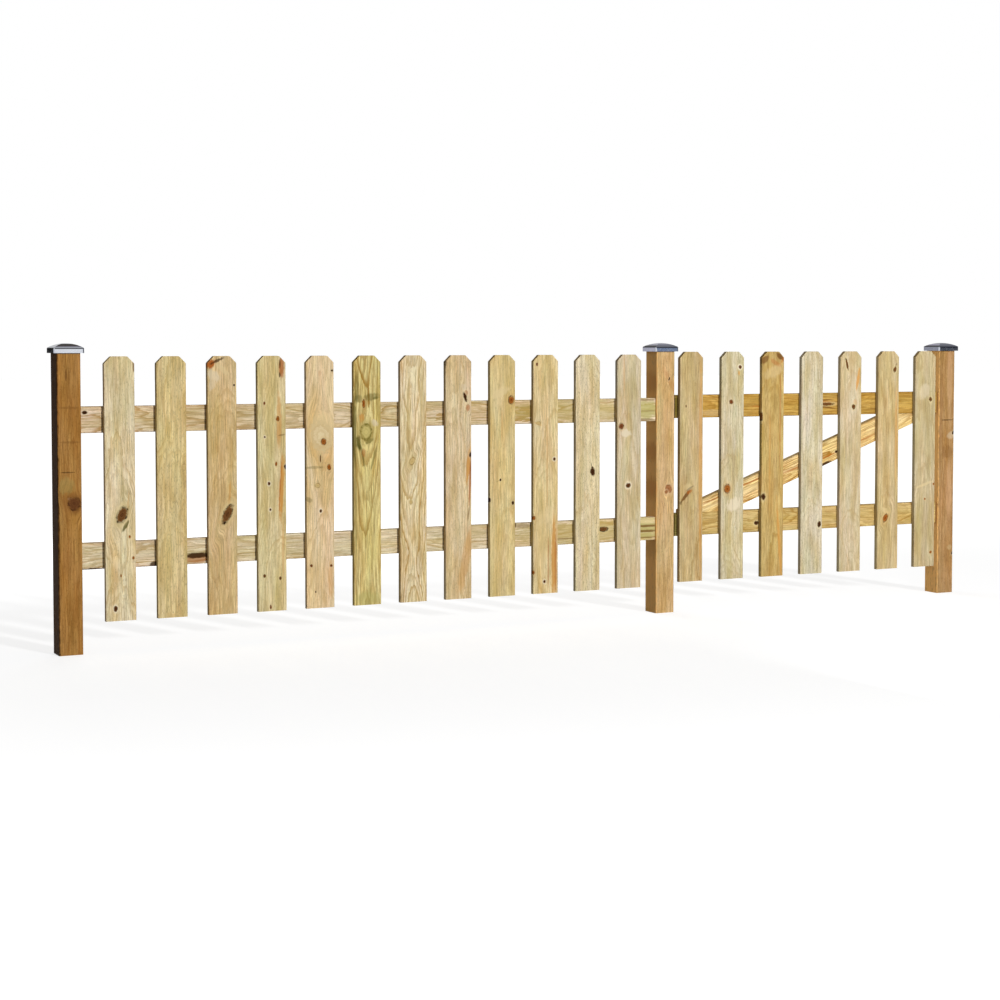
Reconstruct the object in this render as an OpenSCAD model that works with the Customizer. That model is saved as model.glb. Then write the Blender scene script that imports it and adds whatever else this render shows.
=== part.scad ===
// Low picket gate hung in a bay of picket fence.
// Three square posts carry a fixed fence panel and, beside it, a framed gate leaf on strap hinges.
// X runs along the fence, Y from the front to the back, Z up.
// The origin is the centre of the hinge post's foot.

/* [Posts] */
// Side of the square posts
post_w = 73; // [55:1:110]
// Height of the posts' timber above the tops of the fence's pickets
post_rise = 29; // [10:1:80]
// Rounding of the posts' long edges
post_edge_r = 4; // [1:0.5:8]

/* [Bays] */
// Clear width between the posts of the fence bay
fence_span = 2000; // [1200:10:2600]
// Clear width between the posts of the gateway
gateway = 1150; // [800:10:1400]
// Height of the fence's pickets above the posts' feet
picket_foot = 96; // [40:1:140]
// Height that the gate hangs above the line of the fence
gate_lift = 9; // [0:1:20]

/* [Pickets] */
// Length of each picket
picket_h = 800; // [700:5:1000]
// Width of each picket
picket_w = 94; // [70:1:110]
// Thickness of each picket
picket_t = 16; // [12:0.5:24]
// Corner cut off each side of a picket's top
picket_ear = 22; // [8:1:28]
// Rounding where the cut corners meet the sides and the top
ear_soft_r = 7; // [2:0.5:10]
// Rounding of the pickets' long edges
picket_edge_r = 2; // [0.5:0.5:3.5]
// Number of pickets on the fence panel
fence_pickets = 12; // [7:1:13]
// Number of pickets on the gate
gate_pickets = 7; // [4:1:8]

/* [Rails] */
// Height of each rail
rail_h = 80; // [60:1:110]
// Thickness of each rail
rail_t = 28; // [20:1:38]
// Set-back of the rails' front faces from the posts' front faces
rail_setback = 7; // [0:1:14]
// Rounding of the rails' long edges
rail_edge_r = 3; // [0.5:0.5:5]
// Height of the lower rail's underside above the pickets' feet
lower_rail_z = 159; // [100:1:200]
// Depth of the upper rail's top edge below the pickets' tops
upper_rail_drop = 150; // [100:1:200]
// Gap that keeps the panel's pickets separate from its rails
board_gap = 0.3; // [0.1:0.1:0.5]

/* [Gate] */
// Gap from the hinge post to the first picket
hinge_side_gap = 16; // [10:0.5:30]
// Gap from the last picket to the right post
free_side_gap = 23; // [14:0.5:40]
// Gap from each end of the gate's rails to the post beside it
rail_end_gap = 6; // [5.5:0.5:10]
// Width of the diagonal brace
brace_w = 80; // [60:1:110]
// Height of the brace's upright end cuts
brace_heel = 12; // [8:1:30]
// Distance from the first picket's outer edge to the brace's lower end
brace_low_inset = 12; // [2:1:40]
// Distance from the last picket's outer edge to the brace's upper end
brace_high_inset = 22; // [10:1:60]

/* [Hinges] */
// Length of each strap from the pivot to its tip
strap_l = 300; // [180:5:450]
// Width of each strap, which is also the height of its eye
strap_w = 35; // [25:1:50]
// Thickness of each strap
strap_t = 5; // [4:0.5:6]
// Diameter of the hinge pins
pin_d = 12; // [10:0.5:14]
// Running clearance round a pin, measured on the radius
pin_clearance = 0.25; // [0.1:0.05:0.4]
// Distance from the hinge post's face to the pivot
pivot_off = 18; // [17:0.5:26]
// Length of pin that stands above the eye
pin_tip = 8; // [4:1:15]
// Bend of the hooks, measured to the middle of the rod
hook_bend_r = 9; // [8:0.5:12]
// Distance that the collar under the eye stands out from the pin
collar_lip = 3.5; // [2:0.5:5]
// Thickness of the collar
collar_t = 3; // [2:0.5:5]
// Number of screw holes along each strap
strap_holes = 4; // [2:1:6]
// Diameter of the straps' screw holes
strap_hole_d = 6.5; // [4:0.5:8]
// Distance from the pivot to the first screw hole
strap_hole_start = 48; // [40:1:80]

/* [Post caps] */
// Overhang of the post caps beyond the posts' faces
cap_overhang = 9.5; // [5:0.5:12]
// Depth of a cap's skirt
cap_skirt = 15; // [10:1:25]
// Rise of a cap's domed top above its skirt
cap_rise = 14; // [8:1:25]
// Rounding between the domed top and the skirt
cap_shoulder_r = 8; // [3:0.5:10]
// Rounding of the skirt's upright corners
cap_corner_r = 5; // [3:0.5:10]
// Sheet thickness of the caps
cap_t = 1.2; // [0.8:0.1:2]
// Depth of the inner collar that grips the post
cap_grip = 12; // [6:1:14]
// Clearance between a post and the collar inside its cap
cap_clearance = 0.4; // [0.2:0.1:0.8]

/* [Angle brackets] */
// Length of the brackets' legs along the rails that they hold
bracket_leg = 35; // [25:1:60]
// Distance from the brackets' free edges to the posts' back faces
bracket_edge = 3; // [0:0.5:10]
// Height of the brackets
bracket_h = 40; // [25:1:55]
// Thickness of the brackets
bracket_t = 2.5; // [1.5:0.5:4]
// Diameter of the brackets' screw holes
bracket_hole_d = 5; // [3:0.5:6]
// Distance from the brackets' ends to their screw holes
bracket_hole_edge = 10; // [6:0.5:12]

/* [Hidden] */
$fn = 64;
eps = 0.01;

// Heights
post_h = picket_foot + picket_h + post_rise;
upper_rail_z = picket_h - upper_rail_drop - rail_h;

// Posts: the X of each left face
hinge_post_x = -post_w / 2;
left_post_x = hinge_post_x - fence_span - post_w;
right_post_x = hinge_post_x + post_w + gateway;
post_front = -post_w / 2;

// Depths of the boards
rail_front = post_front + rail_setback;
rail_back = rail_front + rail_t;

// Fence panel
fence_gap = (fence_span - fence_pickets * picket_w) / (fence_pickets + 1);
fence_x = left_post_x + post_w;

// Gate leaf
gate_foot = picket_foot + gate_lift;
gate_x = hinge_post_x + post_w;
leaf_x0 = gate_x + hinge_side_gap;
leaf_x1 = right_post_x - free_side_gap;
gate_pitch = (leaf_x1 - leaf_x0 - picket_w) / (gate_pickets - 1);
gate_rail_x0 = gate_x + rail_end_gap;
gate_rail_l = gateway - 2 * rail_end_gap;

// Brace: its top edge starts at the low point and its underside ends at the high point
brace_x0 = leaf_x0 + brace_low_inset;
brace_x1 = leaf_x1 - brace_high_inset;
brace_z0 = gate_foot + lower_rail_z + rail_h;
brace_z1 = gate_foot + upper_rail_z;
brace_run = brace_x1 - brace_x0;
brace_climb = brace_z1 - brace_z0 - 2 * brace_heel;
brace_angle = atan2(brace_climb, brace_run) + asin(brace_w / norm([brace_run, brace_climb]));

// Hinges
eye_r = pin_d / 2 + pin_clearance;
eye_outer_r = eye_r + strap_t;
collar_d = pin_d + 2 * collar_lip;
pivot_x = gate_x + pivot_off;
pivot_y = rail_back + eye_outer_r;
collar_gap = 0.3;
strap_hole_pitch = (strap_l - strap_w / 2 - strap_hole_start) / (strap_holes - 1);
lower_strap_z = gate_foot + lower_rail_z + (rail_h - strap_w) / 2;
upper_strap_z = gate_foot + upper_rail_z + (rail_h - strap_w) / 2;

// Caps: the dome is an arc over the cap's width, and its inside rests on the post's top edges
cap_w = post_w + 2 * cap_overhang;
cap_dome_r = (pow(cap_w / 2, 2) + pow(cap_rise, 2)) / (2 * cap_rise);
cap_dome_z = cap_skirt + cap_rise - cap_dome_r;
cap_seat_gap = 0.3;
cap_seat_z = cap_dome_z + sqrt(pow(cap_dome_r - cap_t, 2) - pow(post_w / 2, 2));
cap_z = post_h + cap_seat_gap - cap_seat_z;

// Brackets
bracket_post_leg = post_w - rail_setback - rail_t - bracket_edge;

// Rectangle from the origin with rounded corners
module rounded_rect(w, d, r) {
    translate([r, 0]) square([w - 2 * r, d]);
    translate([0, r]) square([w, d - 2 * r]);
    for (x = [r, w - r], y = [r, d - r]) translate([x, y]) circle(r);
}

// Square post standing on z = 0, with its front left edge at the given x
module post(x) {
    color("peru")
    translate([x, post_front, 0])
    linear_extrude(post_h) rounded_rect(post_w, post_w, post_edge_r);
}

// Points of an arc that rounds the corner at c, between the directions a0 and a1
function corner_arc(c, r, a0, a1, n = 4) =
    [for (i = [0 : n]) let (a = a0 + (a1 - a0) * i / n) c + r * [cos(a), sin(a)]];

// Front outline of a picket: straight sides, and a top with both corners cut at 45 degrees
module picket_outline() {
    r = ear_soft_r;
    k = r * tan(22.5);
    side = [picket_w - r, picket_h - picket_ear - k];
    top = [picket_w - picket_ear - k, picket_h - r];
    right = concat(corner_arc(side, r, 0, 45), corner_arc(top, r, 45, 90));
    left = [for (i = [len(right) - 1 : -1 : 0]) [picket_w - right[i][0], right[i][1]]];
    polygon(concat([[0, 0], [picket_w, 0]], right, left));
}

// Picket with its lower left back corner at the given place
module picket(x, y, z) {
    translate([x, y, z])
    intersection() {
        rotate([90, 0, 0]) linear_extrude(picket_t) picket_outline();
        translate([0, -picket_t, 0])
        linear_extrude(picket_h) rounded_rect(picket_w, picket_t, picket_edge_r);
    }
}

// Rail along X, with its lower left front corner at the given x and z
module rail(x, z, l) {
    translate([x, rail_front, z])
    rotate([90, 0, 90])
    linear_extrude(l) rounded_rect(rail_t, rail_h, rail_edge_r);
}

// Fixed panel: two rails between the posts, and the pickets nailed to their fronts
module fence_panel() {
    color("tan") {
        for (z = [lower_rail_z, upper_rail_z]) rail(fence_x, picket_foot + z, fence_span);
        for (i = [0 : fence_pickets - 1])
            picket(fence_x + fence_gap + i * (picket_w + fence_gap), rail_front - board_gap, picket_foot);
    }
}

module gate_rail(z) {
    color("burlywood") rail(gate_rail_x0, gate_foot + z, gate_rail_l);
}

module gate_picket(i) {
    color("wheat") picket(leaf_x0 + (i - 1) * gate_pitch, rail_front, gate_foot);
}

// Diagonal board between the rails, cut level where it meets them and upright at its tips
module gate_brace() {
    long = brace_run + brace_w;
    color("burlywood")
    intersection() {
        translate([brace_x0, rail_front, brace_z0 + brace_heel])
        rotate([0, -brace_angle, 0])
        translate([-brace_w, 0, -brace_w])
        rotate([90, 0, 90])
        linear_extrude(long + 2 * brace_w) rounded_rect(rail_t, brace_w, rail_edge_r);
        translate([brace_x0, rail_front - eps, brace_z0])
        cube([brace_run, rail_t + 2 * eps, brace_z1 - brace_z0]);
    }
}

// Strap on the back of a rail, rolled into an eye round the pivot
module strap(z) {
    color("silver")
    translate([pivot_x, 0, z])
    difference() {
        union() {
            translate([0, pivot_y, 0]) cylinder(h = strap_w, r = eye_outer_r);
            translate([0, rail_back, 0]) cube([strap_l - strap_w / 2, strap_t, strap_w]);
            translate([strap_l - strap_w / 2, rail_back, strap_w / 2])
            rotate([-90, 0, 0]) cylinder(h = strap_t, d = strap_w);
        }
        translate([0, pivot_y, -eps]) cylinder(h = strap_w + 2 * eps, r = eye_r);
        for (i = [0 : strap_holes - 1])
            translate([strap_hole_start + i * strap_hole_pitch, rail_back - eps, strap_w / 2])
            rotate([-90, 0, 0]) cylinder(h = strap_t + 2 * eps, d = strap_hole_d);
    }
}

// Hook screwed into the hinge post: a bent rod whose end stands up as the pin through the strap's eye
module hook(z) {
    color("silver")
    translate([pivot_x, pivot_y, z - collar_gap - collar_t]) {
        cylinder(h = collar_t, d = collar_d);
        cylinder(h = collar_t + collar_gap + strap_w + pin_tip, d = pin_d);
        translate([-hook_bend_r, 0, 0])
        rotate([90, 0, 0])
        rotate([0, 0, -90])
        rotate_extrude(angle = 90) translate([hook_bend_r, 0]) circle(d = pin_d);
        translate([-pivot_off, 0, -hook_bend_r])
        rotate([0, 90, 0]) cylinder(h = pivot_off - hook_bend_r, d = pin_d);
    }
}

// Half section of a cap, as a solid: straight sides, rounded shoulders and an arc for the top
module cap_section(inset) {
    w = cap_w / 2 - inset;
    dome = cap_dome_r - inset;
    s = cap_shoulder_r - inset;
    cx = w - s;
    cz = cap_dome_z + sqrt(pow(dome - s, 2) - pow(cx, 2));
    reach = 2 * dome / (cz - cap_dome_z);
    intersection() {
        translate([0, cap_dome_z]) circle(dome, $fn = 256);
        polygon([[0, cap_dome_z], [cx * reach, cap_dome_z + (cz - cap_dome_z) * reach],
                 [-cx * reach, cap_dome_z + (cz - cap_dome_z) * reach]]);
        translate([-w, 0]) square([2 * w, cap_skirt + cap_rise]);
    }
    translate([-w, 0]) square([2 * w, cz]);
    for (m = [-1, 1]) translate([m * cx, cz]) circle(s);
}

// Solid of the cap's outer form, or of its inside when inset by the sheet thickness
module cap_form(inset) {
    w = cap_w - 2 * inset;
    intersection() {
        translate([0, w / 2, 0]) rotate([90, 0, 0]) linear_extrude(w) cap_section(inset);
        translate([-w / 2, 0, 0]) rotate([90, 0, 90]) linear_extrude(w) cap_section(inset);
        translate([-w / 2, -w / 2, 0])
        linear_extrude(cap_skirt + cap_rise) rounded_rect(w, w, cap_corner_r - inset);
    }
}

// Pressed sheet cap with a collar inside that slides over the post
module post_cap(x) {
    grip = post_w + 2 * cap_clearance;
    color("lightsteelblue")
    translate([x + post_w / 2, 0, cap_z]) {
        difference() {
            cap_form(0);
            translate([0, 0, -eps]) cap_form(cap_t);
        }
        intersection() {
            cap_form(0);
            translate([0, 0, cap_skirt - cap_grip])
            linear_extrude(cap_rise + cap_grip)
            difference() {
                translate([-grip / 2 - cap_t, -grip / 2 - cap_t])
                rounded_rect(grip + 2 * cap_t, grip + 2 * cap_t, post_edge_r);
                translate([-grip / 2, -grip / 2]) rounded_rect(grip, grip, post_edge_r);
            }
        }
    }
}

// Angle bracket in the corner behind a rail; side is 1 at the left post and -1 at the hinge post
module bracket(x, z, side) {
    color("silver")
    translate([x, rail_back, picket_foot + z + (rail_h - bracket_h) / 2])
    mirror([side < 0 ? 1 : 0, 0, 0])
    difference() {
        linear_extrude(bracket_h) {
            square([bracket_leg, bracket_t]);
            square([bracket_t, bracket_post_leg]);
        }
        for (h = [bracket_hole_edge, bracket_h - bracket_hole_edge]) {
            translate([(bracket_leg + bracket_t) / 2, -eps, h])
            rotate([-90, 0, 0]) cylinder(h = bracket_t + 2 * eps, d = bracket_hole_d);
            translate([-eps, (bracket_post_leg + bracket_t) / 2, h])
            rotate([0, 90, 0]) cylinder(h = bracket_t + 2 * eps, d = bracket_hole_d);
        }
    }
}

post(left_post_x);  // left_post
post(hinge_post_x);  // hinge_post
post(right_post_x);  // right_post
post_cap(left_post_x);  // left_post_cap
post_cap(hinge_post_x);  // hinge_post_cap
post_cap(right_post_x);  // right_post_cap
fence_panel();
bracket(fence_x, lower_rail_z, 1);  // bracket_left_low
bracket(fence_x, upper_rail_z, 1);  // bracket_left_high
bracket(hinge_post_x, lower_rail_z, -1);  // bracket_right_low
bracket(hinge_post_x, upper_rail_z, -1);  // bracket_right_high
gate_rail(lower_rail_z);  // gate_lower_rail
gate_rail(upper_rail_z);  // gate_upper_rail
gate_brace();
for (i = [1 : gate_pickets])
    gate_picket(i);
strap(lower_strap_z);  // lower_strap
strap(upper_strap_z);  // upper_strap
hook(lower_strap_z);  // lower_hook
hook(upper_strap_z);  // upper_hook
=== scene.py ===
"""Looks of a low picket gate in a bay of picket fence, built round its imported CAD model."""
import bpy
import bmesh
import math
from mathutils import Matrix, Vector

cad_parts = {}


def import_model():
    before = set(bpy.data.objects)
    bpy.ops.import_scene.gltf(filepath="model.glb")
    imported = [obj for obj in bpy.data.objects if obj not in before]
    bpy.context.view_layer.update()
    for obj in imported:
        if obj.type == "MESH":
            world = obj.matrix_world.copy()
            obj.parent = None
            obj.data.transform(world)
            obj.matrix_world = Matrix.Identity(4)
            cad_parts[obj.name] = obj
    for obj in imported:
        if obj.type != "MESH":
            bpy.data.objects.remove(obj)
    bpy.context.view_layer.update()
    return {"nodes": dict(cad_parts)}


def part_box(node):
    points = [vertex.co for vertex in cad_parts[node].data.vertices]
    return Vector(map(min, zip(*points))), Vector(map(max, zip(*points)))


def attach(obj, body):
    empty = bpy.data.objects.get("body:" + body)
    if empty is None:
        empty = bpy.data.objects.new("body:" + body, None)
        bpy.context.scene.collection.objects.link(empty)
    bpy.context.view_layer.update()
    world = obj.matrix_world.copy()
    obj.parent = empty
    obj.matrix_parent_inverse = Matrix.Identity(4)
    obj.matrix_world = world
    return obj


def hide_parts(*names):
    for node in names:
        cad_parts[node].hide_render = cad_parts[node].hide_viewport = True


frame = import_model()
MM = 0.001

# The grain's lean in a board that lies along X, and in the brace, where it's a hair steeper
# than the board
LEVEL = math.radians(90.0)
BRACE_GRAIN = LEVEL - math.radians(20.1)

# What the CAD source says and the frame doesn't: the brace's slope, and sizes in mm
BRACE_SLOPE = math.radians(20.0)
BRACE_HALF = 40.0
BRACKET_SHEET = 2.5
BRACKET_HOLE_EDGE = 10.0
STRAP_SHEET = 5.0
STRAP_HOLES = 4
STRAP_HOLE_START = 59.25


# ---------------------------------------------------------------- node graphs

class Graph:
    """Adds nodes to a material's tree or to a node group, with one short call for each."""

    def __init__(self, tree):
        self.tree = tree

    def add(self, kind, **settings):
        node = self.tree.nodes.new(kind)
        for name, value in settings.items():
            setattr(node, name, value)
        return node

    def feed(self, socket, value):
        """Links a socket to another node's output, or sets its own value."""
        if isinstance(value, bpy.types.NodeSocket):
            self.tree.links.new(value, socket)
        else:
            socket.default_value = value

    def feed_all(self, node, values):
        for socket, value in zip(node.inputs, values):
            self.feed(socket, value)

    def math(self, operation, *values):
        node = self.add("ShaderNodeMath", operation=operation)
        self.feed_all(node, values)
        return node.outputs[0]

    def product(self, factors):
        """All factors multiplied together."""
        result = factors[0]
        for factor in factors[1:]:
            result = self.math("MULTIPLY", result, factor)
        return result

    def vector(self, operation, *values):
        node = self.add("ShaderNodeVectorMath", operation=operation)
        self.feed_all(node, values)
        return node.outputs["Value" if operation in ("LENGTH", "DOT_PRODUCT") else "Vector"]

    def scaled(self, vector, factor):
        node = self.add("ShaderNodeVectorMath", operation="SCALE")
        self.feed(node.inputs[0], vector)
        self.feed(node.inputs["Scale"], factor)
        return node.outputs["Vector"]

    def split(self, vector):
        node = self.add("ShaderNodeSeparateXYZ")
        self.feed(node.inputs[0], vector)
        return node.outputs

    def join(self, x, y, z):
        node = self.add("ShaderNodeCombineXYZ")
        self.feed_all(node, (x, y, z))
        return node.outputs[0]

    def turn(self, vector, angle):
        """The vector turned about the Y axis."""
        node = self.add("ShaderNodeVectorRotate", rotation_type="Y_AXIS")
        self.feed(node.inputs["Vector"], vector)
        self.feed(node.inputs["Angle"], angle)
        return node.outputs[0]

    def noise(self, vector, scale, detail=2.0, roughness=0.5):
        node = self.add("ShaderNodeTexNoise")
        self.feed(node.inputs["Vector"], vector)
        node.inputs["Scale"].default_value = scale
        node.inputs["Detail"].default_value = detail
        node.inputs["Roughness"].default_value = roughness
        return node.outputs

    def smooth(self, value, low, high, start=0.0, end=1.0):
        """Goes smoothly from start to end while value goes from low to high."""
        node = self.add("ShaderNodeMapRange", interpolation_type="SMOOTHSTEP")
        self.feed_all(node, (value, low, high, start, end))
        return node.outputs[0]

    def mix(self, factor, a, b, blend="MIX"):
        node = self.add("ShaderNodeMix", data_type="RGBA", blend_type=blend)
        self.feed(node.inputs[0], factor)
        self.feed(node.inputs[6], a)
        self.feed(node.inputs[7], b)
        return node.outputs[2]

    def group(self, tree, **values):
        """Uses a node group. A name's underscores stand for spaces."""
        node = self.add("ShaderNodeGroup", node_tree=tree)
        for name, value in values.items():
            self.feed(node.inputs[name.replace("_", " ")], value)
        return node.outputs


SOCKETS = {"float": "NodeSocketFloat", "vector": "NodeSocketVector", "color": "NodeSocketColor"}


def new_group(name, inputs, outputs):
    """The graph of a new node group, its inputs' sockets and its output node's sockets."""
    tree = bpy.data.node_groups.new(name, "ShaderNodeTree")
    for key, kind in inputs.items():
        tree.interface.new_socket(name=key, in_out="INPUT", socket_type=SOCKETS[kind])
    for key, kind in outputs.items():
        tree.interface.new_socket(name=key, in_out="OUTPUT", socket_type=SOCKETS[kind])
    g = Graph(tree)
    return g, g.add("NodeGroupInput").outputs, g.add("NodeGroupOutput").inputs


def new_material(name):
    """A material, its graph and its main shader."""
    material = bpy.data.materials.new(name)
    material.use_nodes = True
    return material, Graph(material.node_tree), material.node_tree.nodes["Principled BSDF"]


def rgb(red, green, blue):
    """Linear colour with alpha from 0 to 255 display values."""
    def linear(c):
        c /= 255
        return c / 12.92 if c <= 0.04045 else ((c + 0.055) / 1.055) ** 2.4
    return (linear(red), linear(green), linear(blue), 1.0)


# ---------------------------------------------------------------- wood

def grain_group():
    """Growth rings of a log, cut by the board. A point is in mm: across, through and along the board."""
    g, i, o = new_group(
        "grain",
        {"Point": "vector", "Pith": "vector", "Taper": "float", "Crest": "float", "Ring": "float",
         "Wander": "float", "Seed": "float"},
        {"Late": "float", "Year": "float", "Streak": "float", "Strand": "float", "Fibre": "float",
         "Patch": "float", "Fleck": "float", "Hue": "vector"})
    seeded = g.vector("ADD", i["Point"], g.scaled((137.0, 71.0, 453.0), i["Seed"]))

    def figure(across, along, detail=2.0, roughness=0.5):
        """Noise with that many waves per mm across and along the board."""
        return g.noise(g.vector("MULTIPLY", seeded, (across, across, along)), 1.0, detail, roughness)

    # Distance from the log's middle, bent and roughened, then counted in years of growth
    sway = g.vector("SUBTRACT", figure(0.004, 0.0035, 1.0)["Color"], (0.5, 0.5, 0.5))
    from_pith = g.vector("ADD", g.vector("SUBTRACT", i["Point"], i["Pith"]), g.scaled(sway, i["Wander"]))
    flat = g.vector("MULTIPLY", from_pith, (1.0, 1.0, 0.0))
    height = g.math("SUBTRACT", g.split(i["Point"])["Z"], i["Crest"])
    along = g.vector("LENGTH", g.join(height, 25.0, 0.0))
    radius = g.math("MULTIPLY_ADD", along, i["Taper"], g.vector("LENGTH", flat))
    radius = g.math("MULTIPLY_ADD", figure(0.05, 0.008)["Fac"], 9.0, radius)
    radius = g.math("MULTIPLY_ADD", figure(0.18, 0.03)["Fac"], 4.0, radius)
    phase = g.math("DIVIDE", radius, i["Ring"])
    year = g.add("ShaderNodeTexWhiteNoise", noise_dimensions="1D")
    g.feed(year.inputs["W"], g.math("ADD", g.math("FLOOR", phase), i["Seed"]))
    part_of_year = g.math("FRACT", phase)
    late = g.product((g.smooth(part_of_year, 0.3, 0.88), g.smooth(part_of_year, 0.93, 1.0, 1.0, 0.0)))
    g.feed(o["Late"], g.math("MULTIPLY", late, g.math("MULTIPLY_ADD", year.outputs["Value"], 0.9, 0.1)))
    g.feed(o["Year"], year.outputs["Value"])
    g.feed(o["Streak"], figure(0.17, 0.0035, 3.0, 0.6)["Fac"])
    g.feed(o["Strand"], figure(0.36, 0.014, 2.0, 0.65)["Fac"])
    g.feed(o["Fibre"], figure(0.8, 0.03, 3.0, 0.65)["Fac"])
    g.feed(o["Patch"], figure(0.03, 0.006)["Fac"])
    g.feed(o["Fleck"], figure(0.34, 0.13, 2.0, 0.6)["Fac"])
    drift = figure(0.03, 0.005)["Color"]
    g.feed(o["Hue"], g.vector("MULTIPLY_ADD", drift, (0.2, 0.0, 0.4), (0.9, 1.0, 0.8)))
    return g.tree


SPOT_INPUTS = {"Raw": "vector", "Centre": "vector", "Across": "float", "Along": "float", "Tilt": "float"}


def spot_offset(g, i):
    """From a spot's centre: the offset in mm, and its two parts as shares of the spot's half sizes."""
    offset = g.vector("MULTIPLY", g.vector("SUBTRACT", i["Raw"], i["Centre"]), (1.0, 0.0, 1.0))
    turned = g.split(g.turn(offset, i["Tilt"]))
    return offset, g.math("DIVIDE", turned["X"], i["Across"]), g.math("DIVIDE", turned["Z"], i["Along"])


def knot_group():
    """A knot that goes Depth mm in and out from its centre. Reach is 1 at its outline.

    The grain flows round it, so the point moves aside near it.
    """
    g, i, o = new_group(
        "knot",
        {"Point": "vector", "Depth": "float", **SPOT_INPUTS},
        {"Point": "vector", "Reach": "float"})
    offset, u, v = spot_offset(g, i)
    far = g.math("ADD", g.math("MULTIPLY", u, u), g.math("MULTIPLY", g.math("MULTIPLY", v, v), 0.25))
    pull = g.math("MULTIPLY", g.math("EXPONENT", g.math("MULTIPLY", far, -0.4)), 0.95)
    aside = g.vector("MULTIPLY", g.scaled(offset, pull), (1.0, 0.0, 0.0))
    g.feed(o["Point"], g.vector("SUBTRACT", i["Point"], aside))
    behind = g.math("SUBTRACT", g.split(i["Raw"])["Y"], g.split(i["Centre"])["Y"])
    distance = g.vector("LENGTH", g.join(u, g.math("DIVIDE", behind, i["Depth"]), v))
    rough = g.math("SUBTRACT", g.noise(i["Raw"], 0.12, 3.0, 0.6)["Fac"], 0.5)
    g.feed(o["Reach"], g.math("MULTIPLY_ADD", rough, 0.8, distance))
    return g.tree


def knot_paint_group():
    """Colours a knot: rings inside, a broken dark edge, and a halo that fades into the wood."""
    g, i, o = new_group(
        "knot paint",
        {"Color": "color", "Raw": "vector", "Reach": "float", "Core": "color", "Rim": "color",
         "Edge": "color", "Halo": "color", "Glow": "float"},
        {"Color": "color"})
    d = i["Reach"]
    rough = g.noise(i["Raw"], 0.5, 3.0, 0.7)["Fac"]
    wave = g.math("SINE", g.math("MULTIPLY_ADD", rough, 4.0, g.math("MULTIPLY", d, 15.0)))
    rings = g.math("MULTIPLY_ADD", wave, 0.25, g.math("MULTIPLY", d, 0.75))
    inside = g.mix(g.math("MINIMUM", g.math("MAXIMUM", rings, 0.0), 1.0), i["Core"], i["Rim"])
    halo = g.math("MULTIPLY", g.smooth(d, 1.1, 2.4, 1.0, 0.0), i["Glow"])
    color = g.mix(halo, i["Color"], i["Halo"])
    color = g.mix(g.smooth(d, 0.8, 1.02, 1.0, 0.0), color, inside)
    broken = g.smooth(g.noise(i["Raw"], 0.09, 2.0)["Fac"], 0.35, 0.6, 0.35, 1.0)
    edge = g.product((g.smooth(d, 0.72, 0.98), g.smooth(d, 1.02, 1.35, 1.0, 0.0), broken))
    g.feed(o["Color"], g.mix(edge, color, i["Edge"]))
    return g.tree


def stain_group():
    """A patch with a ragged, soft outline that follows the grain."""
    g, i, o = new_group("stain", {"Streak": "float", **SPOT_INPUTS}, {"Mask": "float"})
    _, u, v = spot_offset(g, i)
    rough = g.noise(g.vector("MULTIPLY", i["Raw"], (0.14, 0.14, 0.05)), 1.0, 3.0, 0.65)["Fac"]
    ragged = g.math("ADD", g.math("SUBTRACT", rough, 0.5), g.math("SUBTRACT", i["Streak"], 0.5))
    d = g.math("ADD", g.vector("LENGTH", g.join(u, 0.0, v)), ragged)
    g.feed(o["Mask"], g.smooth(d, 0.65, 1.2, 1.0, 0.0))
    return g.tree


GRAIN = grain_group()
KNOT = knot_group()
KNOT_PAINT = knot_paint_group()
STAIN = stain_group()

# Display colours of the core, rim, edge and halo, and how far the halo shows
KNOTS = {
    "brown": ((88, 54, 28), (134, 92, 50), (50, 32, 16), (216, 194, 140), 0.5),
    "dark": ((48, 28, 14), (86, 52, 28), (66, 42, 22), (222, 204, 162), 0.35),
    "ringed": ((66, 38, 20), (118, 76, 44), (84, 56, 32), (238, 224, 194), 0.75),
    "orange": ((124, 64, 22), (184, 116, 52), (98, 58, 26), (214, 180, 120), 0.4),
    "red": ((96, 50, 28), (146, 90, 50), (72, 42, 24), (216, 188, 140), 0.4),
    "swirl": ((196, 166, 106), (214, 190, 134), (164, 130, 78), (206, 182, 124), 0.3),
    "olive": ((206, 190, 120), (176, 158, 90), (126, 114, 54), (176, 158, 88), 0.5),
    "shaded": ((92, 56, 30), (120, 76, 42), (80, 48, 26), (128, 84, 44), 0.6),
    "faint": ((142, 92, 56), (178, 126, 84), (136, 88, 52), (216, 182, 140), 0.45),
    "whorl": ((228, 208, 164), (206, 178, 128), (214, 190, 142), (208, 184, 134), 0.0),
}

STAINS = {
    "amber": (206, 146, 70),
    "rust": (172, 94, 36),
    # The next colour is real dark bark and streaks on the boards, and painted shade where it covers the
    # left post's left face
    "bark_and_shade": (62, 38, 18),
    "black": (40, 26, 14),
    "white": (226, 212, 184),
    # The next colour is real moss and green stain on the boards, and painted shade at the gate rails' left
    # ends
    "moss_and_shade": (88, 84, 34),
    "green": (178, 172, 104),
    "blond": (226, 204, 154),
    "brown": (112, 74, 36),
    "pink": (206, 164, 124),
    # The next colour is painted light, laid over the posts' left faces so that they look lighter than the
    # lamps make them
    "painted_side_light": (244, 188, 114),
}

# Shares of a board's own colour: early wood, what late wood loses at depth 1, slow patches and sawn ends
EARLY_WOOD = (1.06, 1.06, 1.08)
LATE_WOOD_LOSS = (0.20, 0.32, 0.54)
PATCH_WOOD = (0.99, 0.96, 0.90)
SAWN_END = (0.62, 0.52, 0.4, 1.0)


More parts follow.
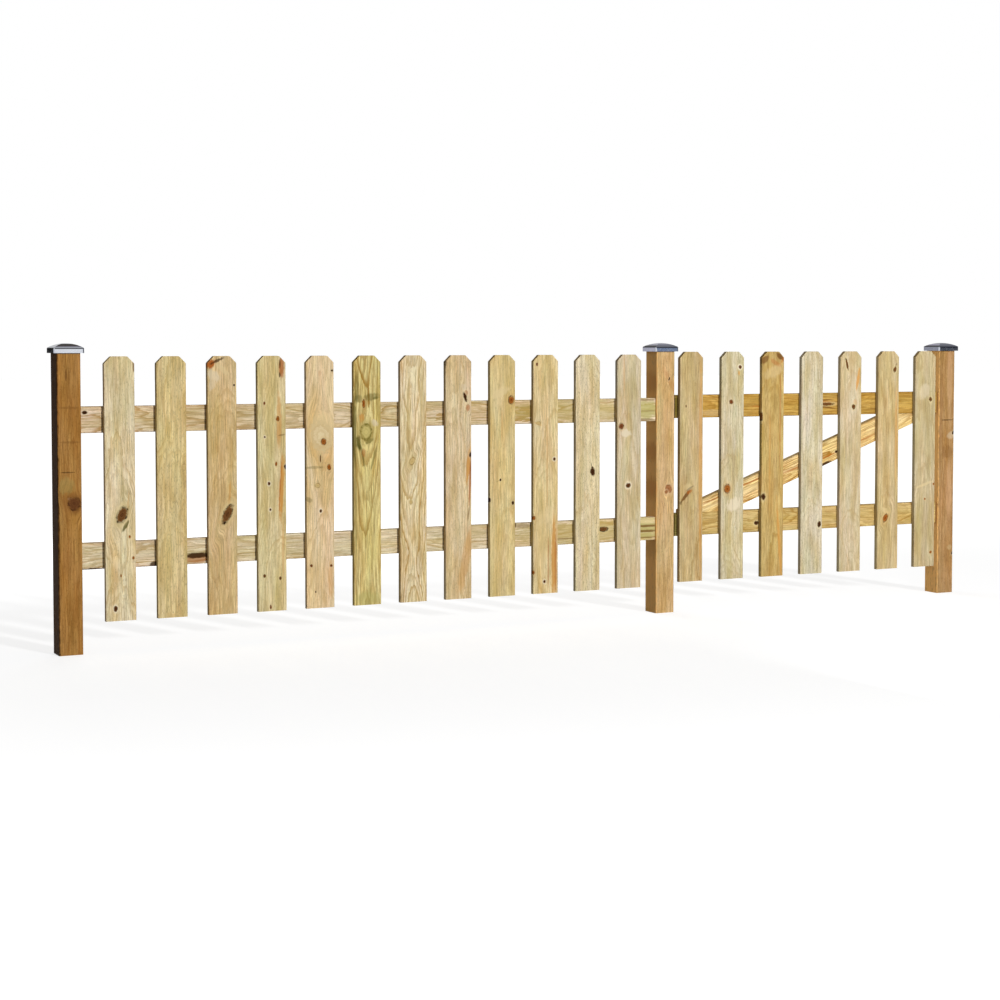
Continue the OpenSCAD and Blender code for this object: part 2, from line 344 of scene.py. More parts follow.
def shades(base, depth):
    """Early wood, late wood and the slow patches between them, from a board's own colour."""
    late = [1.0 - depth * k for k in LATE_WOOD_LOSS]
    steps = (EARLY_WOOD, late, PATCH_WOOD)
    return [rgb(*(min(c * k, 255) for c, k in zip(base, step))) for step in steps]


def board_axes(g, vector, lean):
    """A direction or offset along the board's own axes: across, through and along it."""
    return g.turn(vector, -lean)


def spot_values(raw, spot, through=0.0):
    """The values that knots and stains share."""
    across, up, half_width, half_length = spot[1:5]
    tilt = math.radians(-spot[5]) if len(spot) > 5 else 0.0
    return dict(Raw=raw, Centre=(across, through, up), Across=half_width, Along=half_length, Tilt=tilt)


def bend_round_knots(g, raw, knots, depth, reach):
    """The point as the grain has it, bent round all knots, and what paints each knot."""
    point = raw
    paints = []
    for knot in knots:
        out = g.group(KNOT, Point=point, Depth=reach, **spot_values(raw, knot, depth))
        point = out["Point"]
        core, rim, edge, halo, glow = KNOTS[knot[0]]
        paints.append(dict(Raw=raw, Reach=out["Reach"], Core=rgb(*core), Rim=rgb(*rim), Edge=rgb(*edge),
                           Halo=rgb(*halo), Glow=glow))
    return point, paints


def clear_wood(g, grain, raw, half, base, figure, depth, pits):
    """Colour of the wood before its stains and knots, with painted shade along the board's side edges."""
    early, late, patch = shades(base, depth)
    color = g.mix(g.smooth(grain["Patch"], 0.38, 0.66), early, patch)
    lines = g.math("MAXIMUM", grain["Late"], g.smooth(grain["Strand"], 0.36, 0.54, 0.65, 0.0))
    color = g.mix(g.math("MULTIPLY", lines, figure), color, late)
    # The last tone darkens each board within 3 mm of its side edges: painted shade of the rounded arrises
    from_middle = g.math("ABSOLUTE", g.split(raw)["X"])
    tone = g.product((
        g.smooth(grain["Streak"], 0.34, 0.66, 0.91, 1.06),
        g.smooth(grain["Fibre"], 0.3, 0.7, 0.86, 1.1),
        g.smooth(grain["Strand"], 0.36, 0.64, 0.92, 1.06),
        g.math("MULTIPLY_ADD", grain["Year"], 0.08, 0.96),
        g.smooth(grain["Fleck"], 0.54, 0.66, 1.0, 1.0 - 0.5 * pits),
        g.smooth(from_middle, half - 3.0, half - 0.5, 1.0, 0.84)))
    return g.mix(1.0, color, g.vector("MULTIPLY", g.join(tone, tone, tone), grain["Hue"]), "MULTIPLY")


def planed_surface(g, shader, grain):
    """Matt fibres with a slight relief, in which late wood lies lower."""
    g.feed(shader.inputs["Roughness"], g.smooth(grain["Fibre"], 0.2, 0.8, 0.55, 0.75))
    shader.inputs["Specular IOR Level"].default_value = 0.05
    fibres = g.math("ADD", grain["Fibre"], grain["Streak"])
    bump = g.add("ShaderNodeBump")
    bump.inputs["Strength"].default_value = 0.6
    bump.inputs["Distance"].default_value = 0.5 * MM
    g.feed(bump.inputs["Height"], g.math("SUBTRACT", fibres, g.math("MULTIPLY", grain["Late"], 0.5)))
    g.feed(shader.inputs["Normal"], bump.outputs[0])


def timber(name, origin, lean, half, seed, base, knots=(), stains=(), ring=5.0, pith=(12.0, 60.0),
           taper=0.03, crest=-600.0, wander=60.0, figure=0.8, depth=1.0, pits=0.3,
           knot_middle=0.0, knot_reach=400.0):
    """Planed softwood for one board of that half width, with its own grain, knots and stains.

    Lengths are in mm. ring is a year's growth, pith is the log's middle across and through the board, and
    wander is how far the log bends. taper is how far the rings shift for each mm from the height crest,
    where the grain arches. figure and depth are the strength and darkness of the grain's lines, and pits
    is the strength of the dark flecks. Knots lie at the depth knot_middle and reach that far from it.
    """
    material, g, shader = new_material(name)
    texture = g.add("ShaderNodeTexCoord").outputs
    raw = board_axes(g, g.scaled(g.vector("SUBTRACT", texture["Object"], origin), 1 / MM), lean)
    point, paints = bend_round_knots(g, raw, knots, knot_middle, knot_reach)
    grain = g.group(GRAIN, Point=point, Pith=(*pith, 0.0), Taper=taper, Crest=crest, Ring=ring,
                    Wander=wander, Seed=seed)
    color = clear_wood(g, grain, raw, half, base, figure, depth, pits)
    for stain in stains:
        kind, *_, strength = stain
        mask = g.group(STAIN, Streak=grain["Streak"], **spot_values(raw, stain))["Mask"]
        color = g.mix(g.math("MULTIPLY", mask, strength), color, rgb(*STAINS[kind]))
    for paint in paints:
        color = g.group(KNOT_PAINT, Color=color, **paint)["Color"]
    sawn = g.math("ABSOLUTE", g.split(board_axes(g, texture["Normal"], lean))["Z"])
    color = g.mix(g.math("MULTIPLY", g.smooth(sawn, 0.4, 0.7), 0.8), color, SAWN_END, "MULTIPLY")
    g.feed(shader.inputs["Base Color"], color)
    planed_surface(g, shader, grain)
    return material


# Each spot is its kind, the distance from the board's centreline and from its foot, its half width and
# half length, all in mm, then how far its top leans to the right in degrees and, for a stain, its strength.
# A rail's foot is its left end, and its spots lie below the centreline where the distance is above 0
PICKETS = {
    "fence_picket_1": dict(
        base=(230, 215, 175), seed=1, pith=(-14, 75), figure=0.6, pits=0.4,
        knots=[
            ("brown", 5, 321, 14, 24, 22), ("ringed", -17, 38, 5, 8), ("orange", 28, 254, 3, 4),
            ("orange", 39, 190, 3, 4), ("orange", 0, 137, 2, 4)],
        stains=[
            ("green", 10, 700, 34, 120, 0, 0.12), ("moss_and_shade", -10, 296, 4, 14, -20, 0.6),
            ("blond", 4, 316, 24, 44, 20, 0.6), ("moss_and_shade", 16, 288, 5, 18, 30, 0.9),
            ("moss_and_shade", 23, 330, 3, 22, 12, 0.6), ("brown", 45, 768, 4, 16, 0, 0.7),
            ("amber", 24, 350, 3, 40, 4, 0.4)]),
    "fence_picket_2": dict(
        base=(220, 200, 145), seed=2, pith=(22, 120), figure=0.5, pits=0.5,
        knots=[("swirl", 38, 461, 6, 9)]),
    "fence_picket_3": dict(
        base=(215, 190, 140), seed=3, pith=(10, 90), figure=0.55,
        knots=[("brown", 15, 311, 12, 29, 26), ("dark", 39, 710, 3, 3)],
        stains=[
            ("blond", 22, 322, 22, 40, 26, 0.5), ("brown", 0, 296, 3, 26, 22, 0.5),
            ("rust", -34, 776, 18, 12, -45, 0.95), ("bark_and_shade", -14, 786, 24, 5, -24, 0.8),
            ("white", -26, 740, 24, 16, 40, 0.5), ("white", -30, 712, 12, 20, 30, 0.35),
            ("blond", 0, 760, 30, 8, 40, 0.5), ("amber", 22, 360, 4, 60, 4, 0.5),
            ("amber", -4, 286, 10, 10, 0, 0.4)]),
    "fence_picket_4": dict(
        base=(220, 205, 155), seed=4, pith=(30, 70), figure=0.55,
        knots=[
            ("red", -24, 652, 3, 5), ("orange", 20, 603, 5, 7), ("ringed", -23, 547, 3, 3),
            ("orange", 14, 462, 3, 6), ("dark", 44, 452, 4, 7), ("ringed", -10, 401, 4, 5),
            ("ringed", -6, 319, 3, 4), ("brown", -26, 112, 4, 5), ("brown", 26, 102, 4, 5),
            ("red", -6, 13, 3, 6)],
        stains=[
            ("amber", 24, 600, 9, 90, 0, 0.6), ("amber", 32, 385, 8, 110, 3, 0.9),
            ("rust", 27, 385, 2, 90, 3, 0.6), ("amber", 36, 200, 5, 90, 0, 0.35),
            ("rust", 33, 765, 9, 36, 0, 0.8), ("bark_and_shade", 28, 776, 3, 16, 0, 0.7),
            ("bark_and_shade", 27, 740, 3, 9, 0, 0.8), ("brown", 32, 552, 12, 3, -10, 0.5)]),
    "fence_picket_5": dict(
        base=(230, 205, 160), seed=5, pith=(4, 60), figure=0.5,
        knots=[
            ("whorl", 4, 546, 34, 44, -14), ("dark", 41, 753, 4, 3), ("orange", 12, 528, 8, 10),
            ("brown", 1, 474, 2, 12), ("orange", 30, 447, 6, 9), ("swirl", -9, 390, 8, 7),
            ("ringed", 1, 309, 4, 5), ("red", -31, 136, 4, 4), ("red", 36, 133, 4, 4),
            ("dark", -17, 52, 2, 3)],
        stains=[
            ("moss_and_shade", -20, 447, 30, 5, 0, 0.35), ("moss_and_shade", -38, 345, 12, 8, 30, 0.4),
            ("blond", 6, 580, 40, 40, 20, 0.5), ("pink", 0, 745, 6, 10, 0, 0.5),
            ("amber", 34, 90, 8, 70, 0, 0.4)]),
    "fence_picket_6": dict(
        base=(220, 205, 140), seed=6, pith=(-6, 30), ring=8.0, taper=-0.06, crest=110.0, wander=30,
        figure=0.9, depth=1.4,
        knots=[("orange", -12, 646, 5, 12), ("olive", -4, 556, 18, 24)],
        stains=[
            ("moss_and_shade", -30, 662, 15, 14, 20, 0.5), ("moss_and_shade", 16, 668, 28, 12, -10, 0.5),
            ("moss_and_shade", 30, 664, 12, 5, -10, 0.5), ("moss_and_shade", -43, 560, 6, 110, 0, 0.7),
            ("amber", -18, 600, 10, 16, 0, 0.7), ("white", 26, 584, 14, 10, 40, 0.6),
            ("moss_and_shade", -30, 520, 7, 28, -8, 0.95), ("bark_and_shade", -28, 536, 5, 9, 0, 0.7),
            ("moss_and_shade", 6, 526, 16, 7, -30, 0.8), ("moss_and_shade", -16, 480, 4, 40, -10, 0.6),
            ("moss_and_shade", 22, 470, 4, 50, 16, 0.5), ("moss_and_shade", -36, 700, 7, 60, 0, 0.5),
            ("rust", -12, 490, 7, 16, 0, 0.5), ("green", 0, 20, 44, 26, 0, 0.5),
            ("moss_and_shade", -40, 330, 4, 200, 0, 0.4)]),
    "fence_picket_7": dict(
        base=(230, 215, 175), seed=7, pith=(-8, 42), ring=6.0, taper=-0.08, crest=120.0, figure=0.9,
        depth=1.1, pits=0.3,
        knots=[("swirl", -5, 458, 8, 12, 35), ("swirl", -9, 326, 5, 8)],
        stains=[("moss_and_shade", -2, 450, 9, 3, -40, 0.6)]),
    "fence_picket_8": dict(
        base=(220, 200, 160), seed=8, pith=(-30, 90), figure=0.5, pits=0.4,
        knots=[("dark", 24, 664, 5, 15, -18), ("dark", 43, 474, 4, 9)],
        stains=[
            ("rust", 34, 628, 8, 12, 0, 0.6), ("rust", 28, 676, 8, 10, 0, 0.5),
            ("amber", 36, 440, 7, 60, 6, 0.8), ("rust", 41, 380, 4, 80, 2, 0.7),
            ("brown", 46, 420, 3, 60, 0, 0.6), ("amber", 26, 130, 16, 140, 12, 0.4),
            ("brown", 36, 280, 3, 24, 8, 0.5), ("white", 20, 696, 10, 12, 0, 0.35),
            ("black", -46, 775, 4, 12, 0, 0.5)]),
    "fence_picket_9": dict(
        base=(220, 200, 145), seed=9, pith=(20, 100), figure=0.45,
        knots=[
            ("orange", 32, 651, 10, 13), ("dark", -8, 387, 3, 4), ("dark", 38, 309, 4, 5),
            ("dark", -47, 322, 3, 7)],
        stains=[
            ("blond", -8, 676, 36, 14, -25, 0.65), ("blond", -20, 640, 18, 10, -10, 0.4),
            ("brown", -12, 386, 14, 2, -30, 0.3), ("amber", -2, 560, 4, 60, 0, 0.3)]),
    "fence_picket_10": dict(
        base=(225, 205, 155), seed=10, pith=(16, 120), figure=0.5,
        knots=[
            ("red", -33, 768, 3, 5), ("ringed", 33, 451, 5, 5), ("orange", -44, 255, 6, 6),
            ("ringed", -4, 40, 4, 5), ("orange", -46, 73, 4, 6), ("swirl", -27, 573, 7, 5)],
        stains=[
            ("amber", 6, 430, 3, 160, 0, 0.35), ("amber", 32, 120, 10, 150, 0, 0.8),
            ("rust", 38, 110, 4, 120, 0, 0.5), ("rust", 10, 100, 3, 110, 0, 0.5),
            ("blond", 4, 262, 46, 24, -36, 0.45), ("amber", -30, 570, 16, 4, 20, 0.4),
            ("blond", -20, 160, 24, 90, 0, 0.35)]),
    "fence_picket_11": dict(
        base=(220, 205, 165), seed=11, pith=(-25, 120), figure=0.4, pits=0.6,
        knots=[("dark", 19, 404, 8, 14, -4)],
        stains=[("black", 14, 426, 2, 14, -10, 0.8)]),
    "fence_picket_12": dict(
        base=(205, 190, 155), seed=12, pith=(-4, 85), figure=0.45,
        knots=[("red", -31, 556, 9, 10), ("ringed", -3, 353, 8, 8)],
        stains=[("white", -14, 532, 20, 14, 0, 0.8), ("amber", -20, 730, 4, 70, 0, 0.3)]),
    "gate_picket_1": dict(
        base=(195, 175, 130), seed=21, pith=(24, 80), figure=0.55,
        knots=[("brown", -22, 612, 2, 5)],
        stains=[
            ("brown", -22, 300, 34, 6, -48, 0.9), ("rust", -6, 314, 12, 7, -30, 0.6),
            ("bark_and_shade", -4, 326, 16, 4, -30, 0.7), ("bark_and_shade", -42, 276, 5, 8, 0, 0.6),
            ("amber", 38, 400, 7, 380, 0, 0.5), ("blond", -10, 330, 18, 12, 0, 0.3)]),
    "gate_picket_2": dict(
        base=(200, 190, 155), seed=22, pith=(-20, 100), figure=0.5, pits=0.4,
        knots=[("ringed", 30, 746, 6, 6), ("red", -6, 624, 7, 7), ("orange", -20, 319, 12, 15)],
        stains=[
            ("brown", -32, 322, 7, 14, 0, 0.6), ("white", 6, 262, 32, 24, -24, 0.75),
            ("amber", 26, 725, 4, 8, 0, 0.6), ("brown", 2, 420, 2, 360, 0, 0.22)]),
    "gate_picket_3": dict(
        base=(190, 165, 105), seed=23, pith=(10, 70), figure=0.65,
        knots=[("dark", -38, 285, 8, 10), ("brown", -46, 571, 3, 14)],
        stains=[
            ("brown", 30, 782, 22, 9, 40, 0.9), ("brown", -34, 772, 20, 12, -40, 0.75),
            ("rust", 10, 760, 26, 8, 30, 0.4), ("rust", 40, 770, 6, 14, 30, 0.5),
            ("rust", 32, 560, 4, 200, 0, 0.4), ("blond", 2, 728, 44, 20, -22, 0.3),
            ("amber", 30, 130, 6, 130, -4, 0.6), ("amber", -12, 420, 4, 200, 0, 0.35)]),
    "gate_picket_4": dict(
        base=(200, 190, 160), seed=24, pith=(-8, 110), figure=0.35, pits=0.5,
        knots=[("dark", 34, 177, 7, 10)]),
    "gate_picket_5": dict(
        base=(200, 185, 150), seed=25, pith=(14, 90), figure=0.45,
        knots=[("brown", -18, 754, 4, 20, -14), ("brown", 13, 599, 7, 8)],
        stains=[("amber", 32, 700, 6, 40, 8, 0.8), ("amber", 20, 615, 8, 12, 0, 0.35)]),
    "gate_picket_6": dict(
        base=(195, 175, 130), seed=26, pith=(-14, 80), figure=0.5,
        knots=[("brown", 28, 733, 6, 10, 14), ("orange", -10, 188, 9, 15, 32)],
        stains=[
            ("amber", 36, 500, 6, 200, 0, 0.4), ("bark_and_shade", 34, 750, 3, 8, 20, 0.5),
            ("blond", -10, 215, 20, 10, 30, 0.4)]),
    "gate_picket_7": dict(
        base=(190, 175, 135), seed=27, pith=(-20, 90), figure=0.45,
        knots=[
            ("brown", 24, 622, 7, 7), ("orange", 41, 306, 3, 4), ("orange", 2, 251, 3, 4),
            ("orange", 31, 52, 5, 5)],
        stains=[("white", -4, 652, 24, 30, 30, 0.4), ("blond", 0, 306, 44, 5, -16, 0.4)]),
}

RAILS = {
    "fence_upper_rail": dict(
        base=(230, 210, 180), seed=31, pith=(10, 60), figure=0.95, depth=1.25,
        knots=[("dark", -22, 12, 5, 7), ("swirl", -12, 1100, 12, 20)],
        stains=[
            ("amber", 0, 1600, 34, 400, 0, 0.25), ("green", 0, 1700, 44, 300, 0, 0.35),
            ("green", 0, 1960, 44, 60, 0, 0.7), ("brown", -34, 1950, 4, 60, 0, 0.6),
            ("brown", 34, 1950, 5, 60, 0, 0.6), ("brown", 4, 1970, 3, 40, 0, 0.4),
            ("green", 0, 1000, 44, 1200, 0, 0.22)]),
    "fence_lower_rail": dict(
        base=(235, 220, 190), seed=32, pith=(-18, 50), ring=6.0, figure=0.95, depth=1.25,
        knots=[("dark", -34, 1452, 8, 9), ("brown", -6, 1795, 8, 16)],
        stains=[
            ("green", 0, 1000, 44, 1200, 0, 0.22), ("rust", 24, 358, 14, 44, 0, 0.6),
            ("bark_and_shade", 14, 357, 9, 44, 0, 0.95), ("bark_and_shade", 42, 36, 7, 50, 0, 0.95),
            ("bark_and_shade", 34, 222, 9, 14, 0, 0.9), ("amber", 0, 1770, 40, 300, 0, 0.35),
            ("green", 0, 1700, 44, 260, 0, 0.4), ("brown", -30, 1480, 7, 50, 0, 0.4),
            ("brown", 20, 1630, 3, 60, 0, 0.5), ("green", 0, 1960, 44, 60, 0, 0.7),
            ("brown", -10, 1960, 4, 60, 0, 0.8), ("brown", 8, 1960, 5, 50, 0, 0.8),
            ("brown", 30, 1960, 3, 60, 0, 0.6), ("blond", -26, 1970, 9, 40, 0, 0.5)]),
    "gate_upper_rail": dict(
        base=(190, 155, 80), seed=33, pith=(14, 55), ring=6.0, figure=0.95,
        knots=[("brown", 0, 640, 5, 30)],
        stains=[
            ("rust", 4, 380, 4, 60, 0, 0.6), ("rust", -6, 620, 6, 40, 0, 0.6),
            # The dark olive stain at the rail's left end is painted shade in the gap by the hinge post
            ("blond", 24, 160, 12, 60, 0, 0.3), ("moss_and_shade", 0, 4, 44, 22, 0, 0.8),
            ("brown", 10, 630, 4, 50, 6, 0.8), ("brown", -14, 620, 3, 50, -4, 0.7),
            ("brown", 20, 900, 4, 90, 0, 0.5)]),
    "gate_lower_rail": dict(
        base=(200, 175, 115), seed=34, pith=(-10, 70), figure=0.9,
        knots=[("dark", 8, 340, 7, 8)],
        # The dark olive stain at the rail's left end is painted shade in the gap by the hinge post
        stains=[("moss_and_shade", 0, 4, 44, 22, 0, 0.8)]),
    "gate_brace": dict(
        base=(230, 205, 145), seed=35, pith=(6, 24), ring=7.0, wander=30, figure=1.0, depth=1.5,
        knots=[("dark", 12, 126, 4, 5)],
        stains=[
            ("bark_and_shade", 38, 70, 9, 26, 0, 0.95), ("rust", -22, -260, 3, 200, 0, 0.6),
            ("rust", 14, 160, 3, 200, 0, 0.6), ("rust", 2, -80, 3, 80, 4, 0.6),
            ("blond", -4, -300, 8, 260, 0, 0.4)]),
}

POSTS = {
    "left_post": dict(
        base=(175, 130, 70), seed=41, pith=(8, 18), taper=0.008, wander=24, figure=0.6, pits=0.4,
        knots=[("shaded", 13, 456, 17, 18, -30)],
        stains=[
            ("brown", -8, 841, 3, 18, 0, 0.7), ("black", -8, 550, 24, 2, 0, 0.6),
            ("brown", 0, 640, 34, 4, 0, 0.35), ("brown", 0, 743, 34, 4, 0, 0.35),
            # The dark stain at -42 covers the whole left face: painted shade that darkens that side
            ("green", -10, 510, 24, 26, 0, 0.25), ("bark_and_shade", -42, 460, 9, 1400, 0, 0.95),
            ("pink", 0, 470, 8, 5, 0, 0.4)]),
    "hinge_post": dict(
        base=(205, 175, 125), seed=42, pith=(-4, 30), ring=4.5, taper=0.03, wander=40, figure=0.6, pits=0.4,
        knots=[("faint", 14, 431, 13, 12, 30), ("faint", 4, 420, 6, 6), ("dark", 14, 812, 2, 6, 20)],
        stains=[
            # The first stain at -42 covers the whole left face and is painted light that lightens that
            # side; the rust and brown patches at -42 are real mottling
            ("painted_side_light", -42, 460, 9, 1400, 0, 0.95), ("rust", -42, 800, 9, 50, 0, 0.35),
            ("brown", -42, 680, 9, 24, 0, 0.3), ("rust", -42, 560, 9, 40, 0, 0.35),
            ("rust", -42, 430, 9, 50, 0, 0.4), ("brown", -42, 230, 9, 50, 0, 0.25),
            ("rust", 20, 800, 10, 60, -30, 0.25), ("pink", 0, 600, 16, 120, 0, 0.25)]),
    "right_post": dict(
        base=(170, 135, 90), seed=43, pith=(12, 20), taper=0.008, wander=24, figure=0.6, pits=0.4,
        knots=[("dark", 32, 600, 4, 7, 30), ("dark", 34, 150, 3, 8, 30)],
        stains=[
            ("white", 20, 590, 16, 14, -30, 0.3), ("brown", 4, 530, 26, 26, 0, 0.4),
            ("black", 4, 648, 30, 2, 0, 0.7), ("brown", -30, 700, 8, 260, 0, 0.3),
            ("pink", 14, 800, 12, 120, 0, 0.35), ("pink", 14, 380, 14, 120, 0, 0.35),
            # The stain at -42 that covers the whole left face is painted light, making that side lighter
            # than the front
            ("painted_side_light", -42, 400, 9, 1400, 0, 1.0), ("blond", 20, 170, 12, 10, -20, 0.25)]),
}

FENCE_PICKETS = [name for name in PICKETS if name.startswith("fence")]
GATE_PICKETS = [name for name in PICKETS if name.startswith("gate")]
FENCE_RAILS = ["fence_lower_rail", "fence_upper_rail"]
GATE_RAILS = ["gate_lower_rail", "gate_upper_rail"]


# ---------------------------------------------------------------- boards

def link(name, data):
    """A new object with that mesh, lamp or camera."""
    obj = bpy.data.objects.new(name, data)
    bpy.context.scene.collection.objects.link(obj)
    return obj


def mesh_from(name, source):
    """A mesh from a bmesh, which is freed."""
    data = bpy.data.meshes.new(name)
    source.to_mesh(data)
    source.free()
    return data


def take_island(left):
    """Takes one face and all that hang together with it out of the set, and gives them back."""
    stack = [left.pop()]
    island = set(stack)
    while stack:
        for edge in stack.pop().edges:
            for face in edge.link_faces:
                if face in left:
                    left.remove(face)
                    island.add(face)
                    stack.append(face)
    return island


def loose_parts(node):
    """The separate solids of a CAD node, as new meshes."""
    source = bmesh.new()
    source.from_mesh(frame["nodes"][node].data)
    bmesh.ops.remove_doubles(source, verts=source.verts, dist=0.01 * MM)
    source.verts.index_update()
    source.faces.index_update()
    left = set(source.faces)
    parts = []
    while left:
        island = take_island(left)
        part = bmesh.new()
        corners = sorted({v for f in island for v in f.verts}, key=lambda v: v.index)
        copies = {v: part.verts.new(v.co) for v in corners}
        for face in sorted(island, key=lambda f: f.index):
            part.faces.new([copies[v] for v in face.verts])
        parts.append(mesh_from(node, part))
    source.free()
    return parts


def mesh_box(data):
    """Lowest and highest corner of a mesh."""
    corners = [[f(v.co[k] for v in data.vertices) for k in range(3)] for f in (min, max)]
    return Vector(corners[0]), Vector(corners[1])


def middle(box):
    """The middle of a box given by its lowest and highest corner."""
    low, high = box
    return (low + high) / 2


def round_shading(data, angle=35.0):
    """Smooth shading that keeps edges sharper than the angle, in degrees."""
    for polygon in data.polygons:
        polygon.use_smooth = True
    data.set_sharp_from_angle(angle=math.radians(angle))


def paint(obj, material):
    """Gives the object that material alone."""
    obj.data.materials.clear()
    obj.data.materials.append(material)


def dress_upright(obj, low, high, spec):
    """Timber for a board or post that stands upright."""
    origin = ((low.x + high.x) / 2, (low.y + high.y) / 2, low.z)
    paint(obj, timber(obj.name, origin, 0.0, (high.x - low.x) / 2 / MM, **spec))


def dress_level(obj, low, high, spec):
    """Timber for a rail that lies along X. Its across direction points down."""
    origin = (low.x, (low.y + high.y) / 2, (low.z + high.z) / 2)
    paint(obj, timber(obj.name, origin, LEVEL, (high.z - low.z) / 2 / MM, **spec))


def fence_boards():
    """The fence panel's boards as pieces of their own."""
    pickets = []
    rails = []
    for data in loose_parts("fence_panel"):
        low, high = mesh_box(data)
        boards = rails if high.x - low.x > high.z - low.z else pickets
        boards.append((low, high, data))
    pickets.sort(key=lambda part: part[0].x)
    rails.sort(key=lambda part: part[0].z)
    for name, (low, high, data) in zip(FENCE_PICKETS + FENCE_RAILS, pickets + rails):
        board = link(name, data)
        round_shading(data)
        is_rail = name in RAILS
        if is_rail:
            dress_level(board, low, high, RAILS[name])
        else:
            dress_upright(board, low, high, PICKETS[name])
        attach(board, "fence")
        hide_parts("fence_panel")


def gate_boards():
    """Timber for the gate's own nodes. The brace's spots are measured from its middle."""
    for name in GATE_PICKETS:
        dress_upright(frame["nodes"][name], *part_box(name), PICKETS[name])
    for name in GATE_RAILS:
        dress_level(frame["nodes"][name], *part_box(name), RAILS[name])
    place = middle(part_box("gate_brace"))
    wood = timber("gate_brace", place, BRACE_GRAIN, BRACE_HALF, **RAILS["gate_brace"])
    paint(frame["nodes"]["gate_brace"], wood)


def posts():
    """Timber for the posts, whose knots lie at the front and don't reach the back."""
    for name, spec in POSTS.items():
        low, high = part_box(name)
        front = (low.y - high.y) / 2 / MM
        dress_upright(frame["nodes"][name], low, high, dict(spec, knot_middle=front, knot_reach=22.0))


# ---------------------------------------------------------------- metal

def metal(name, color, roughness, spread, spangle):
    """Zinc-coated sheet or rod: crystals, of the size spangle, that differ in tone and gloss by spread."""
    material, g, shader = new_material(name)
    shader.inputs["Metallic"].default_value = 1.0
    place = g.add("ShaderNodeTexCoord").outputs["Object"]
    cells = g.add("ShaderNodeTexVoronoi", feature="F1")
    g.feed(cells.inputs["Vector"], place)
    cells.inputs["Scale"].default_value = 1 / spangle
    cell = g.split(cells.outputs["Color"])["X"]
    dull = g.noise(place, 60.0, 3.0)["Fac"]
    tone = g.math("MULTIPLY_ADD", cell, spread, 1.0 - spread)
    g.feed(shader.inputs["Base Color"], g.mix(1.0, rgb(*color), g.join(tone, tone, tone), "MULTIPLY"))
    rough = g.math("MULTIPLY_ADD", dull, roughness, roughness * 0.5)
    g.feed(shader.inputs["Roughness"], g.math("MULTIPLY_ADD", cell, spread * 0.3, rough))
    return material


# Radius and rise of the screws' heads in mm, and the way that most of them face
PICKET_SCREW = (4.0, 0.8)
BRACKET_SCREW = (4.0, 1.8)
STRAP_SCREW = (5.0, 2.4)
BACKWARDS = (0, 1, 0)
RAIL_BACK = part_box("gate_lower_rail")[1].y


def screw_head(mesh, place, facing, radius, rise, sides=20):
    """Adds one cross-head screw: a low dome with a cross cut into its top. Radius and rise are in mm."""
    turn = Vector((0.0, 0.0, 1.0)).rotation_difference(Vector(facing)).to_matrix()
    arm = 0.5 * radius
    slit = 0.11 * radius
    cut = 0.8 * rise
    cross = [(arm, slit), (slit, slit), (slit, arm), (-slit, arm), (-slit, slit), (-arm, slit),
             (-arm, -slit), (-slit, -slit), (-slit, -arm), (slit, -arm), (slit, -slit), (arm, -slit)]
    circle = [(math.cos(2 * math.pi * k / sides), math.sin(2 * math.pi * k / sides)) for k in range(sides)]
    profile = ((1.0, 0.0), (0.95, 0.5), (0.78, 0.88), (0.62, 1.0))

    def ring(points, height):
        return [mesh.verts.new(Vector(place) + turn @ Vector((x, y, height)) * MM) for x, y in points]

    def band(lower, upper):
        for k, (a, b) in enumerate(zip(lower, upper)):
            mesh.faces.new((lower[k - 1], a, b, upper[k - 1]))

    rings = []
    for out, up in profile:
        rings.append(ring([(x * out * radius, y * out * radius) for x, y in circle], up * rise))
    for lower, upper in zip(rings, rings[1:]):
        band(lower, upper)
    mouth = ring(cross, rise)
    bed = ring(cross, rise - cut)
    band(mouth, bed)
    rim = [mesh.edges.get((loop[k - 1], loop[k])) or mesh.edges.new((loop[k - 1], loop[k]))
           for loop in (rings[-1], mouth) for k in range(len(loop))]
    bmesh.ops.triangle_fill(mesh, edges=rim, use_beauty=True)
    mesh.faces.new(bed)


def screw_set(name, body, screws, steel):
    """Screw heads as one piece: each is its place in metres, the way it faces, its radius and its rise."""
    mesh = bmesh.new()
    for screw in screws:
        screw_head(mesh, *screw)
    bmesh.ops.recalc_face_normals(mesh, faces=mesh.faces)
    piece = link(name, mesh_from(name, mesh))
    round_shading(piece.data)
    paint(piece, steel)
    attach(piece, body)


def crossing_screws(x, z):
    """The two screws that hold a picket, driven through the back of a rail."""
    spread = ((-25, 28), (25, -28))
    return [((x + dx * MM, RAIL_BACK, z + dz * MM), BACKWARDS, *PICKET_SCREW) for dx, dz in spread]


def bracket_screws(name):
    """Two screws in each leg of a rail bracket, whose legs are equally long."""
    low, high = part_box(name)
    out = 1.0 if "left" in name else -1.0
    post_face = low.x if "left" in name else high.x
    sheet = BRACKET_SHEET * MM
    from_corner = (high.x - low.x + sheet) / 2
    screws = []
    for z in (low.z + BRACKET_HOLE_EDGE * MM, high.z - BRACKET_HOLE_EDGE * MM):
        on_rail = (post_face + out * from_corner, low.y + sheet, z)
        on_post = (post_face + out * sheet, low.y + from_corner, z)
        screws.append((on_rail, BACKWARDS, *BRACKET_SCREW))
        screws.append((on_post, (out, 0, 0), *BRACKET_SCREW))
    return screws


